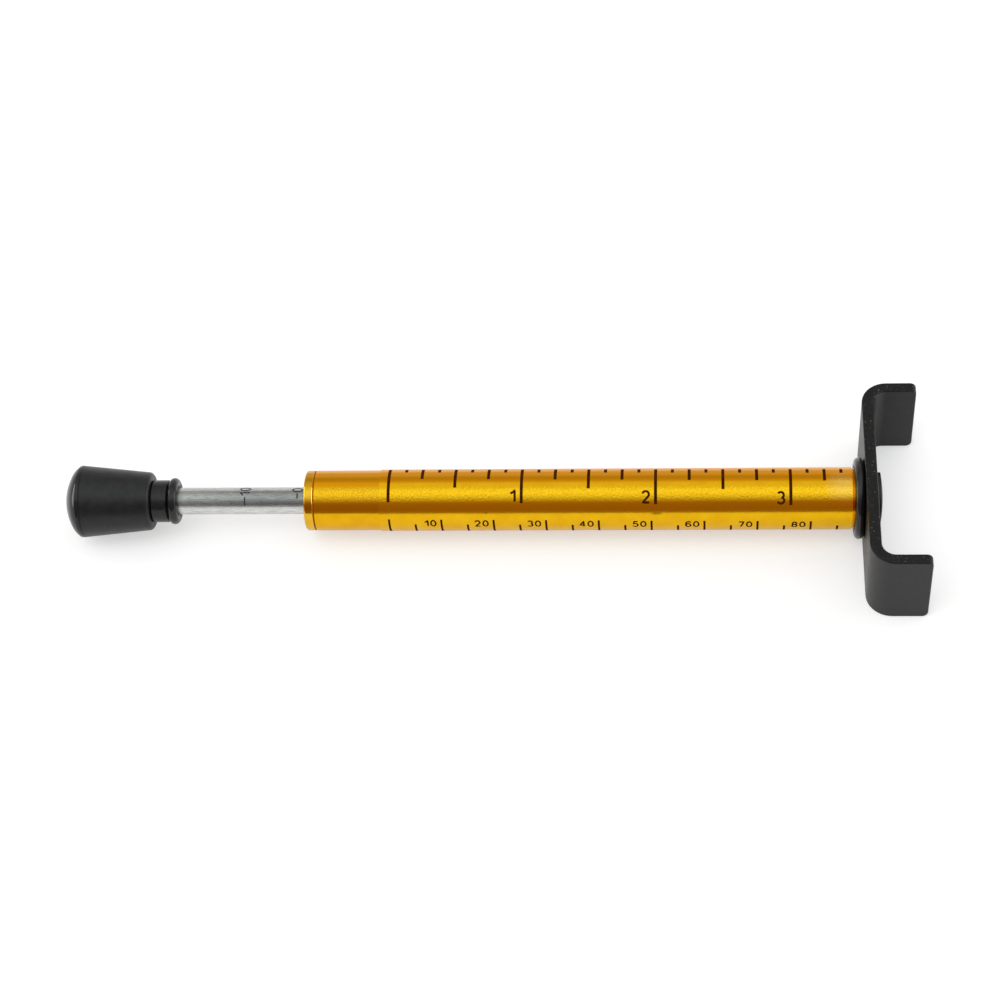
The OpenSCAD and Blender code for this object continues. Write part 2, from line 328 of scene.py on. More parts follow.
@dataclass(frozen=True)
class GoldFinish(Finish):
    """Gold dye over etched metal, with painted shade in strips round the barrel and painted glint
    flecks on a strip that has raised flecks.

    Attributes:
        upper: Colour painted as shade on a strip over the top and the underside, where the darker
            surround reflects.
        upper_mm: Places across the barrel between which it has that colour.
        deep: Colour painted as shade on a strip along both sides, where the dark band of the
            surround reflects.
        deep_mm: Heights between which that painted shade lies.
        flecks: Darkest and brightest colour of the painted glint flecks.
        fleck_mm: Width of a fleck along the barrel.
        fleck_tall: How many times a fleck is taller than wide.
        fleck_depth_mm: Height of a fleck.
        sparkle_mm: Places across the barrel between which the glint flecks are painted.
        relief_mm: Places across the barrel between which the flecks stand up.
        fade_mm: Width over which a strip fades in and out.
        scuffs: Marks of handling.
        ragged_mm: Width of a gap in such a mark.
    """

    upper: str = "#ECA009"
    upper_mm: Span = (-1.2, 4.8)
    deep: str = "#F69404"
    deep_mm: Span = (11.2, 12.9)
    flecks: tuple[str, str] = ("#E0A40E", "#FCC824")
    fleck_mm: float = 0.22
    fleck_tall: float = 1.5
    fleck_depth_mm: float = 0.045
    sparkle_mm: Span = (-3.75, -1.25)
    relief_mm: Span = (-4.2, -1.4)
    fade_mm: float = 0.8
    scuffs: tuple[Scuff, ...] = ()
    ragged_mm: float = 0.75

    def strip(self, tree: Tree, across: Socket, span_mm: Span) -> Socket:
        """Find a strip along the barrel.

        Args:
            tree: Node tree of the material.
            across: Height, or place across the barrel, in metres.
            span_mm: Where the strip starts and ends.

        Returns:
            1 on the strip, fading to 0 beside it.
        """
        middle = (span_mm[0] + span_mm[1]) / 2 * MM
        reach = (span_mm[1] - span_mm[0]) / 2 * MM
        fade = self.fade_mm / 2 * MM
        away = maths(tree, "ABSOLUTE", maths(tree, "SUBTRACT", across, middle))
        return ramped(tree, away, reach - fade, reach + fade, 1.0, 0.0, "SMOOTHSTEP")

    def fleck(self, tree: Tree, place: Socket) -> Socket:
        """Add the noise of the sparkle, from 0 to 1."""
        squeezed = drawn_along(tree, place, 1 / self.fleck_tall)
        return noise(tree, squeezed, self.fleck_mm * self.fleck_tall)

    def colour(self, tree: Tree, place: Socket) -> Socket:
        """Paint shade in strips round the barrel, strew painted glint flecks and add the marks of
        handling.

        Args:
            tree: Node tree of the material.
            place: Coordinates in metres.

        Returns:
            The surface's own colour.
        """
        parts = axes(tree, place)
        # Painted glints: flecks of darker and brighter gold, strewn only on the strip where the soft
        # box reflects at rest.
        bright = ramped(tree, self.fleck(tree, place), *NOISE_SPAN)
        sparkle = mixed(tree, bright, *(linear(code) for code in self.flecks))
        shown = super().colour(tree, place)
        # The first two strips are painted shade; the third holds the painted glint flecks.
        for across, span_mm, over in (
            ("Y", self.upper_mm, linear(self.upper)),
            ("Z", self.deep_mm, linear(self.deep)),
            ("Y", self.sparkle_mm, sparkle),
        ):
            shown = mixed(tree, self.strip(tree, parts[across], span_mm), shown, over)
        ragged = noise(tree, place, self.ragged_mm)
        for scuff in self.scuffs:
            share = maths(tree, "MULTIPLY", scuff.strength(tree, place), ragged)
            shown = mixed(tree, share, shown, linear(scuff.colour))
        return shown

    def relief(self, tree: Tree, place: Socket, grain: Socket) -> Socket:
        """Raise the flecks on the strip that sparkles.

        Args:
            tree: Node tree of the material.
            place: Coordinates in metres.
            grain: The fine grain, from 0 to 1.

        Returns:
            Height of the surface in millimetres.
        """
        raised = self.strip(tree, axes(tree, place)["Y"], self.relief_mm)
        depth = maths(tree, "MULTIPLY", raised, self.fleck_depth_mm)
        plain_relief = super().relief(tree, place, grain)
        return maths(tree, "MULTIPLY_ADD", self.fleck(tree, place), depth, plain_relief)


@dataclass(frozen=True)
class HandledFinish(Finish):
    """A finish painted darker on the upper side of a rod: partly wear from handling, partly painted
    shade.

    Attributes:
        handled: Colour multiplied over the upper side: wear and painted shade together.
        border_mm: Heights between which the clean side turns darker.
        wander_mm: How far the border wanders up and down.
        far_mm: Places across the rod between which it turns clean again behind the top.
        along_mm: Places along the rod between which it grows darkest.
        least: Darkening at its clean end as a share of the most.
        streak_mm: Width of a fine streak along the rod.
        streak_depth_mm: Depth of such a streak.
        streak_drawn_out: How many times longer than wide a streak is.
    """

    handled: str = "#B2B5B5"
    border_mm: Span = (9.3, 9.8)
    wander_mm: float = 1.2
    far_mm: Span = (0.2, 0.7)
    along_mm: Span = (-56.0, -44.0)
    least: float = 0.76
    streak_mm: float = 0.3
    streak_depth_mm: float = 0.035
    streak_drawn_out: float = 25.0

    def colour(self, tree: Tree, place: Socket) -> Socket:
        """Lay the darker colour, partly wear and partly painted shade, over the upper side.

        Args:
            tree: Node tree of the material.
            place: Coordinates in metres.

        Returns:
            The surface's own colour.
        """
        parts = axes(tree, place)
        streak = noise(tree, drawn_along(tree, place, self.drawn_out), self.patch_mm)
        height = maths(tree, "MULTIPLY_ADD", streak, self.wander_mm * MM, parts["Z"])
        clean, handled = ((edge + self.wander_mm / 2) * MM for edge in self.border_mm)
        near, far = (edge * MM for edge in self.far_mm)
        start, end = (edge * MM for edge in self.along_mm)
        # Darker on the upper front: partly wear, partly painted shade.
        dark_top_share = ramped(tree, height, clean, handled)
        for share in (
            ramped(tree, parts["Y"], far, near),
            ramped(tree, parts["X"], start, end, self.least),
        ):
            dark_top_share = maths(tree, "MULTIPLY", dark_top_share, share)
        return mixed(tree, dark_top_share, super().colour(tree, place), linear(self.handled), "MULTIPLY")

    def relief(self, tree: Tree, place: Socket, grain: Socket) -> Socket:
        """Add fine streaks along the rod.

        Args:
            tree: Node tree of the material.
            place: Coordinates in metres.
            grain: The fine grain, from 0 to 1.

        Returns:
            Height of the surface in millimetres.
        """
        streak = noise(tree, drawn_along(tree, place, self.streak_drawn_out), self.streak_mm)
        plain_relief = super().relief(tree, place, grain)
        return maths(tree, "MULTIPLY_ADD", streak, self.streak_depth_mm, plain_relief)


@dataclass(frozen=True)
class ThumbedFinish(Finish):
    """A matt finish that the thumb has worn smoother at one end.

    Attributes:
        rim_mm: Place along the tester at which the worn end stops.
        fade_mm: Length over which it fades.
        worn: Roughness of the worn end as a share of the rest.
    """

    rim_mm: float = -79.2
    fade_mm: float = 0.3
    worn: float = 0.35

    def dullness(self, tree: Tree, place: Socket, grain: Socket) -> Socket:
        """Lower the roughness on the worn end.

        Args:
            tree: Node tree of the material.
            place: Coordinates in metres.
            grain: The fine grain, from 0 to 1.

        Returns:
            The roughness.
        """
        start, end = self.rim_mm * MM, (self.rim_mm + self.fade_mm) * MM
        share = ramped(tree, axes(tree, place)["X"], start, end, self.worn)
        return maths(tree, "MULTIPLY", super().dullness(tree, place, grain), share)


@dataclass(frozen=True)
class SpeckledFinish(Finish):
    """A finish with pale specks strewn over it as painted glints.

    Attributes:
        speck_mm: Width of a speck.
        speck_colour: Colour of a speck, a painted glint.
        speck_levels: Levels of the noise at which a speck starts and is whole.
    """

    speck_mm: float = 0.35
    speck_colour: str = "#757575"
    speck_levels: Span = (0.66, 0.74)

    def colour(self, tree: Tree, place: Socket) -> Socket:
        """Strew pale specks of painted glint over the colour."""
        speck = ramped(tree, noise(tree, place, self.speck_mm), *self.speck_levels)
        return mixed(tree, speck, super().colour(tree, place), linear(self.speck_colour))


# Gold anodised aluminium, drawn and etched before dyeing: soft bands, painted shade in strips round
# the barrel, and a strip of painted glint flecks over raised flecks.
GOLD_TUBE = GoldFinish(
    name="gold_anodised_aluminium_drawn", light="#F2B714", dark="#EAAC0E", patch_mm=2.5,
    grain_mm=0.4, grain_depth_mm=0.004, roughness=(0.12, 0.17), metallic=1.0,
    coat=0.03, coat_roughness=0.08,
)
# Gold anodised aluminium off the lathe: the same dye, paler, on a smoother and brighter surface,
# with its own painted shade strips and faint painted glint flecks.
GOLD_TURNED = GoldFinish(
    name="gold_anodised_aluminium_turned", light="#F0BC2C", dark="#E8B022", patch_mm=1.5,
    grain_mm=0.2, grain_depth_mm=0.002, roughness=(0.06, 0.1), metallic=1.0,
    coat=0.2, coat_roughness=0.05, upper="#DCA010", deep="#D67C00",
    flecks=("#E6B228", "#ECBA30"), fleck_depth_mm=0.0,
)
# Printed carrier film, metallised gold under a clear face: the same gold with its own painted shade
# strips and a coarser sparkle of painted glint flecks over raised flecks.
GOLD_FILM = GoldFinish(
    name="gold_metallised_polyester_film", light="#F6BF16", dark="#EEB310", patch_mm=3.0,
    grain_mm=0.4, grain_depth_mm=0.006, roughness=(0.15, 0.2), metallic=1.0,
    coat=0.03, coat_roughness=0.1, upper="#F0A008", upper_mm=(-0.4, 4.8), deep="#FF9C04",
    flecks=("#EAB010", "#FECA20"), fleck_mm=0.27, fleck_depth_mm=0.05,
    scuffs=(
        Scuff((0.0319, -0.0053, 0.0108), (0.0014, 0.0004, 0.0004), "#5A3304"),
        Scuff((-0.0005, -0.0052, 0.0110), (0.0005, 0.0003, 0.0003), "#5A3304"),
        Scuff((0.0668, -0.0012, 0.0137), (0.0036, 0.0036, 0.0036), "#F8CC68"),
    ),
)
# Painted shade: a dark ring laid in the groove beside the press fit of the bush.
GROOVE_SHADE = Finish(
    name="painted_groove_shade", light="#A85C02", dark="#7C3E00", patch_mm=1.2,
    grain_mm=0.2, grain_depth_mm=0.005, roughness=(0.5, 0.6), specular=0.05,
)
# Screen-printed black ink: thin, a little brown where the gold comes through.
INK = Finish(
    name="black_ink_screen_printed", light="#482206", dark="#301402", patch_mm=0.8,
    grain_mm=0.2, grain_depth_mm=0.001, roughness=(0.5, 0.6), specular=0.01,
)
# The same ink on the rod, worn thin by the bush.
WORN_INK = Finish(
    name="black_ink_worn_thin", light="#454646", dark="#0E0E0E", patch_mm=0.3,
    grain_mm=0.2, grain_depth_mm=0.001, roughness=(0.45, 0.55), specular=0.2,
)
# Zinc-plated steel rod: bright and clean below, with fine streaks along it; on top its colour is
# painted darker, partly as wear from handling and partly as painted shade.
ZINC = HandledFinish(
    name="steel_zinc_plated_worn_and_painted_shade", light="#ECECE9", dark="#C6C8C8", patch_mm=0.25,
    grain_mm=0.16, grain_depth_mm=0.04, roughness=(0.24, 0.34), metallic=1.0, drawn_out=6.0,
)
# Turned steel, left bright and oiled.
BRIGHT_STEEL = Finish(
    name="steel_turned_bright", light="#D2D3D4", dark="#B4B5B7", patch_mm=0.9,
    grain_mm=0.1, grain_depth_mm=0.002, roughness=(0.2, 0.32), metallic=1.0,
)
# Spring wire, drawn and oil tempered: a blue-grey sheen.
SPRING_STEEL = Finish(
    name="spring_steel_oil_tempered", light="#8E939B", dark="#6A6E76", patch_mm=0.6,
    grain_mm=0.12, grain_depth_mm=0.002, roughness=(0.28, 0.42), metallic=1.0,
)
# Knob of moulded phenolic from a blasted mould: deep charcoal, worn glossy on its domed end.
KNOB_PLASTIC = ThumbedFinish(
    name="phenolic_moulded_matt", light="#1A1A1B", dark="#0C0C0D", patch_mm=1.2,
    grain_mm=0.25, grain_depth_mm=0.007, roughness=(0.32, 0.4), specular=0.42,
)
# Steel insert, black oxide over a rough turned face: mottled, with paler high spots.
BLACK_OXIDE = Finish(
    name="steel_black_oxide_rough", light="#18191A", dark="#060607", patch_mm=0.6,
    grain_mm=0.4, grain_depth_mm=0.025, roughness=(0.18, 0.28), specular=0.42,
)
# Nitrile rubber, moulded in a polished mould: deep black with a soft gloss.
RING_RUBBER = Finish(
    name="nitrile_rubber_moulded", light="#121212", dark="#0C0C0C", patch_mm=1.0,
    grain_mm=0.2, grain_depth_mm=0.004, roughness=(0.14, 0.2), specular=0.5,
)
# Inner bumper of plain moulded rubber.
INNER_RUBBER = Finish(
    name="rubber_moulded_plain", light="#222222", dark="#191919", patch_mm=0.8,
    grain_mm=0.15, grain_depth_mm=0.005, roughness=(0.55, 0.7), specular=0.4,
)
# Washer of black moulded nylon.
NYLON = Finish(
    name="nylon_moulded_black", light="#2A2A2A", dark="#202020", patch_mm=0.8,
    grain_mm=0.12, grain_depth_mm=0.003, roughness=(0.4, 0.5), specular=0.5,
)
# Satin black paint on bent strip: a faint orange peel on the rolled faces.
HOOK_PAINT = Finish(
    name="satin_black_paint_on_strip", light="#181818", dark="#121212", patch_mm=2.0,
    grain_mm=0.6, grain_depth_mm=0.008, roughness=(0.34, 0.42), specular=0.48,
)
# The same paint on the sheared edges of the strip: thinner and lumpy, with pale specks painted on as
# glints.
EDGE_PAINT = SpeckledFinish(
    name="satin_black_paint_on_sheared_edge_painted_glints", light="#0B0B0B", dark="#050505", patch_mm=2.0,
    grain_mm=0.55, grain_depth_mm=0.06, roughness=(0.34, 0.42), specular=0.3,
)
# The same satin black paint on the rivet's head.
RIVET_PAINT = Finish(
    name="satin_black_paint_on_rivet", light="#191919", dark="#121212", patch_mm=1.2,
    grain_mm=0.5, grain_depth_mm=0.008, roughness=(0.34, 0.42), specular=0.5,
)


def dress(piece: Piece, finish: Finish) -> None:
    """Give a piece its finish, in every material slot that it has.

    Args:
        piece: Piece or CAD node to dress.
        finish: Finish that it takes.
    """
    if not piece.material_slots:
        piece.data.materials.append(None)
    for slot in piece.material_slots:
        slot.material = finish.material()


def dress_nodes(finishes: Mapping[str, Finish]) -> None:
    """Dress CAD nodes whose shape stays as it is.

    Args:
        finishes: Finish of each node by its name.
    """
    for name, finish in finishes.items():
        dress(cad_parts[name], finish)
        LOG.info("dressed %s in %s", name, finish.name)


def clear_selection() -> None:
    """Go to object mode with nothing selected."""
    if bpy.context.object and bpy.context.object.mode != "OBJECT":
        bpy.ops.object.mode_set(mode="OBJECT")
    bpy.ops.object.select_all(action="DESELECT")


def activate(piece: Piece) -> None:
    """Make a piece the only selected one, and the active one.

    Args:
        piece: Piece to work on.
    """
    clear_selection()
    piece.select_set(True)
    bpy.context.view_layer.objects.active = piece


def put_in_scene(name: str, data: bpy.types.ID) -> Piece:
    """Put a mesh, a curve, a lamp or a camera in the scene.

    Args:
        name: Name of the new object.
        data: What the object shows.

    Returns:
        The new object.
    """
    made = bpy.data.objects.new(name, data)
    bpy.context.scene.collection.objects.link(made)
    return made


@contextmanager
def editing(piece: Piece) -> Iterator[None]:
    """Hold a piece in edit mode, at first with all of it selected.

    Args:
        piece: Piece to edit.

    Yields:
        Nothing, once the piece can be edited.
    """
    activate(piece)
    bpy.ops.object.mode_set(mode="EDIT")
    bpy.ops.mesh.select_all(action="SELECT")
    yield
    bpy.ops.object.mode_set(mode="OBJECT")


def take_started(name: str, scale: Point = (1.0, 1.0, 1.0)) -> Piece:
    """Name the primitive just added, and put its place, turn and scale in its mesh.

    Args:
        name: Name of the new piece.
        scale: Size along the primitive's own axes.

    Returns:
        The named piece, active and in object mode.
    """
    piece = bpy.context.object
    piece.name = name
    piece.data.name = name
    piece.scale = scale
    bpy.ops.object.transform_apply(location=True, rotation=True, scale=True)
    return piece


def select_edges(piece: Piece, wanted: Callable[[bmesh.types.BMEdge], bool]) -> None:
    """Select edges of the piece in edit mode.

    Args:
        piece: Piece that is in edit mode.
        wanted: Says whether an edge is selected.
    """
    bpy.ops.mesh.select_mode(type="EDGE")
    bpy.ops.mesh.select_all(action="DESELECT")
    mesh = bmesh.from_edit_mesh(piece.data)
    for edge in mesh.edges:
        edge.select_set(wanted(edge))
    bmesh.update_edit_mesh(piece.data)


def close_shell() -> None:
    """Merge doubles of the piece in edit mode and turn its faces outwards."""
    bpy.ops.mesh.select_all(action="SELECT")
    bpy.ops.mesh.remove_doubles(threshold=MERGE)
    bpy.ops.mesh.normals_make_consistent(inside=False)


def apply_modifier(piece: Piece, kind: str, **settings: Any) -> None:
    """Add a modifier to a piece and apply it at once.

    Args:
        piece: Piece to change.
        kind: Blender's name for the kind of modifier.
        **settings: Properties of the modifier.
    """
    activate(piece)
    modifier = piece.modifiers.new(kind.lower(), kind)
    for name, value in settings.items():
        setattr(modifier, name, value)
    bpy.ops.object.modifier_apply(modifier=modifier.name)


def smooth(piece: Piece, angle_deg: float) -> None:
    """Shade a piece smooth, except across edges sharper than an angle."""
    activate(piece)
    bpy.ops.object.shade_smooth_by_angle(angle=math.radians(angle_deg))


def join(pieces: Iterable[Piece], name: str) -> Piece:
    """Join pieces into one.

    Args:
        pieces: Pieces to join.
        name: Name of the joined piece.

    Returns:
        The joined piece.
    """
    clear_selection()
    for piece in pieces:
        piece.select_set(True)
        bpy.context.view_layer.objects.active = piece
    bpy.ops.object.join()
    joined = bpy.context.object
    joined.name = name
    joined.data.name = name
    return joined


def copy_moved(piece: Piece, move: Matrix) -> Piece:
    """Copy a piece with a mesh of its own.

    Args:
        piece: Piece to copy.
        move: How the copy is moved from it.

    Returns:
        The copy.
    """
    made = put_in_scene(piece.name, piece.data.copy())
    made.data.transform(move)
    return made


def mend_dome(node: str, name: str, edge_deg: float = 30.0) -> Piece:
    """Stand a merged copy in for a node whose packed normals lean over at the crown of its dome.

    Args:
        node: Name of the CAD node.
        name: Name of the copy.
        edge_deg: Angle past which an edge stays sharp.

    Returns:
        The copy, which takes the node's place.
    """
    made = put_in_scene(name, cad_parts[node].data.copy())
    made.data.name = name
    activate(made)
    bpy.ops.mesh.customdata_custom_splitnormals_clear()
    with editing(made):
        close_shell()
    smooth(made, edge_deg)
    apply_modifier(made, "WEIGHTED_NORMAL", keep_sharp=True)
    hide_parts(node)
    return made


class Division(Enum):
    """A division of an inch, with the angle past the reading line at which its mark ends."""

    WHOLE = -7.6
    HALF = 21.2
    QUARTER = 40.2
    EIGHTH = 60.5


class Reading(Enum):
    """How numerals run on a round surface."""

    ALONG = "along the axis"
    AROUND = "round the axis"


@dataclass(frozen=True)
class Arc:
    """Part of an ellipse in a digit, in shares of the digit's height.

    Attributes:
        centre: Middle of the ellipse.
        radii: Its radii to the right and up.
        start_deg: Angle at which the stroke starts.
        end_deg: Angle at which it ends.
        steps: Number of straight pieces that it is drawn in.
    """

    centre: tuple[float, float]
    radii: tuple[float, float]
    start_deg: float
    end_deg: float
    steps: int = 24

    def points(self) -> list[Vector]:
        """Walk along the arc.

        Returns:
            Points from its start to its end.
        """
        turns = [
            math.radians(self.start_deg + (self.end_deg - self.start_deg) * n / self.steps)
            for n in range(self.steps + 1)
        ]
        return [
            Vector((
                self.centre[0] + self.radii[0] * math.cos(turn),
                self.centre[1] + self.radii[1] * math.sin(turn),
            ))
            for turn in turns
        ]


Stroke = tuple[tuple[float, float] | Arc, ...]

# Centre lines of plain upright digits, in shares of their height
DIGITS: dict[str, tuple[Stroke, ...]] = {
    "0": ((Arc((0.29, 0.5), (0.29, 0.5), 90, 450),),),
    "1": (((0.0, 0.72), (0.22, 0.82), (0.38, 1.0), (0.38, 0.0)),),
    "2": ((Arc((0.29, 0.71), (0.28, 0.29), 165, -25), (0.03, 0.0), (0.6, 0.0)),),
    "3": (
        (Arc((0.28, 0.745), (0.255, 0.255), 150, -80),),
        (Arc((0.28, 0.265), (0.29, 0.265), 80, -155),),
    ),
    "4": (((0.46, 0.0), (0.46, 1.0), (0.0, 0.28), (0.62, 0.28)),),
    "5": (((0.54, 1.0), (0.13, 1.0), (0.06, 0.53), Arc((0.28, 0.325), (0.29, 0.325), 140, -155)),),
    "6": (
        (Arc((0.29, 0.31), (0.28, 0.31), 0, 360),),
        (Arc((0.31, 0.66), (0.3, 0.34), 35, 180), (0.01, 0.31)),
    ),
    "7": (((0.02, 1.0), (0.58, 1.0), (0.22, 0.0)),),
    "8": (
        (Arc((0.29, 0.755), (0.235, 0.245), 0, 360),),
        (Arc((0.29, 0.265), (0.285, 0.265), 0, 360),),
    ),
}


def stroke_points(stroke: Stroke) -> list[Vector]:
    """List the corners of a stroke, with its arcs walked out.

    Args:
        stroke: Points and arcs in the order in which they are drawn.

    Returns:
        Points in shares of the digit's height.
    """
    corners: list[Vector] = []
    for part in stroke:
        corners += part.points() if isinstance(part, Arc) else [Vector(part)]
    return corners


@dataclass
class RoundPrint:
    """Ink printed on a cylinder that lies along X.

    Angles are measured round the cylinder from its reading line, up and away from the reader.

    Attributes:
        radius: Radius of the printed surface.
        axis_z: Height of the cylinder's axis.
        reading_deg: How far the reading line is turned from the top towards the reader.
        ink: Thickness of the ink.
        gap: Clearance under the ink, so that it never lies in the surface.
        step_deg: Angle of one facet of a mark.
        least_steps: Fewest facets of a mark.
        cut: Longest straight piece of a numeral, so that it can bend.
        stroke_share: Width of a digit's stroke as a share of its height.
        letter_gap: Clear width between two digits as a share of their height.
        digit_width: Width of a digit as a share of its plain width.
        bead_steps: Roundness of the bead of ink along a stroke.
    """

    radius: float
    axis_z: float
    reading_deg: float = 38.0
    ink: float = 0.010 * MM
    gap: float = 0.005 * MM
    step_deg: float = 2.5
    least_steps: int = 2
    cut: float = 0.25 * MM
    stroke_share: float = 0.165
    letter_gap: float = 0.14
    digit_width: float = 1.0
    bead_steps: int = 2

    def point(self, x: float, angle: float, radius: float) -> Vector:
        """Find a point near the cylinder.

        Args:
            x: Place along the cylinder.
            angle: Angle from the reading line, in radians.
            radius: Distance from the axis.

        Returns:
            The point.
        """
        lean = math.radians(self.reading_deg) - angle
        return Vector((x, -radius * math.sin(lean), self.axis_z + radius * math.cos(lean)))

    def mark(
        self, name: str, x: float, width: float, start_deg: float, end_deg: float
    ) -> Piece:
        """Spin a small upright face round the axis into a printed bar.

        Args:
            name: Name of the bar.
            x: Middle of the bar along the cylinder.
            width: Width of the bar along the cylinder.
            start_deg: Angle at which it starts.
            end_deg: Larger angle at which it ends.

        Returns:
            The bar.
        """
        clear_selection()
        start = math.radians(start_deg)
        middle = self.radius + self.gap + self.ink / 2
        bpy.ops.mesh.primitive_plane_add(
            size=1.0,
            location=self.point(x, start, middle),
            rotation=(math.radians(90 + self.reading_deg) - start, 0, 0),
        )
        bar = take_started(name, (width, self.ink, 1.0))
        sweep = end_deg - start_deg
        with editing(bar):
            bpy.ops.mesh.spin(
                steps=max(self.least_steps, round(sweep / self.step_deg)),
                angle=math.radians(sweep),
                center=(0, 0, self.axis_z),
                axis=(1, 0, 0),
            )
            close_shell()
        return bar

    def numeral(
        self, text: str, height: float, x: float, angle_deg: float, reading: Reading
    ) -> Piece:
        """Print a plain number as flat beads of ink.

        Args:
            text: Digits of the number.
            height: Height of its digits.
            x: Place of its lower left corner along the cylinder.
            angle_deg: Angle of that corner from the reading line.
            reading: How the number runs.

        Returns:
            The number.
        """
        line = height * self.stroke_share
        tall = height - line
        path = bpy.data.curves.new("numeral_" + text, "CURVE")
        path.dimensions = "3D"
        path.bevel_depth = line / 2
        path.bevel_resolution = self.bead_steps
        path.use_fill_caps = True
        left = line / 2
        for digit in text:
            strokes = [
                [Vector((corner.x * self.digit_width, corner.y)) for corner in stroke_points(stroke)]
                for stroke in DIGITS[digit]
            ]
            for corners in strokes:
                self.draw(path, [corner * tall + Vector((left, line / 2)) for corner in corners])
            width = max(corner.x for corners in strokes for corner in corners)
            left += width * tall + line + height * self.letter_gap
        activate(put_in_scene(path.name, path))
        bpy.ops.object.convert(target="MESH")
        number = bpy.context.object
        for vertex in number.data.vertices:
            right, up = vertex.co.x, vertex.co.y
            if reading is Reading.ALONG:
                along, arc = right, up
            else:
                along, arc = -up, right
            rise = self.gap + self.ink / 2 + vertex.co.z * self.ink / line
            angle = math.radians(angle_deg) + arc / self.radius
            vertex.co = self.point(x + along, angle, self.radius + rise)
        with editing(number):
            bpy.ops.mesh.normals_make_consistent(inside=False)
        return number

    def draw(self, path: bpy.types.Curve, corners: list[Vector]) -> None:
        """Add one stroke to a number, with points close enough to bend round the cylinder.

        Args:
            path: Curve of the number.
            corners: Corners of the stroke in the flat.
        """
        closed = (corners[0] - corners[-1]).length < MERGE
        points = [corners[0]]
        for start, end in zip(corners, corners[1:]):
            pieces = math.ceil((end - start).length / self.cut)
            points += [start.lerp(end, n / pieces) for n in range(1, pieces + 1)]
        if closed:
            points.pop()
        spline = path.splines.new("POLY")
        spline.use_cyclic_u = closed
        spline.points.add(len(points) - 1)
        for spot, point in zip(spline.points, points):
            spot.co = (point.x, point.y, 0.0, 1.0)


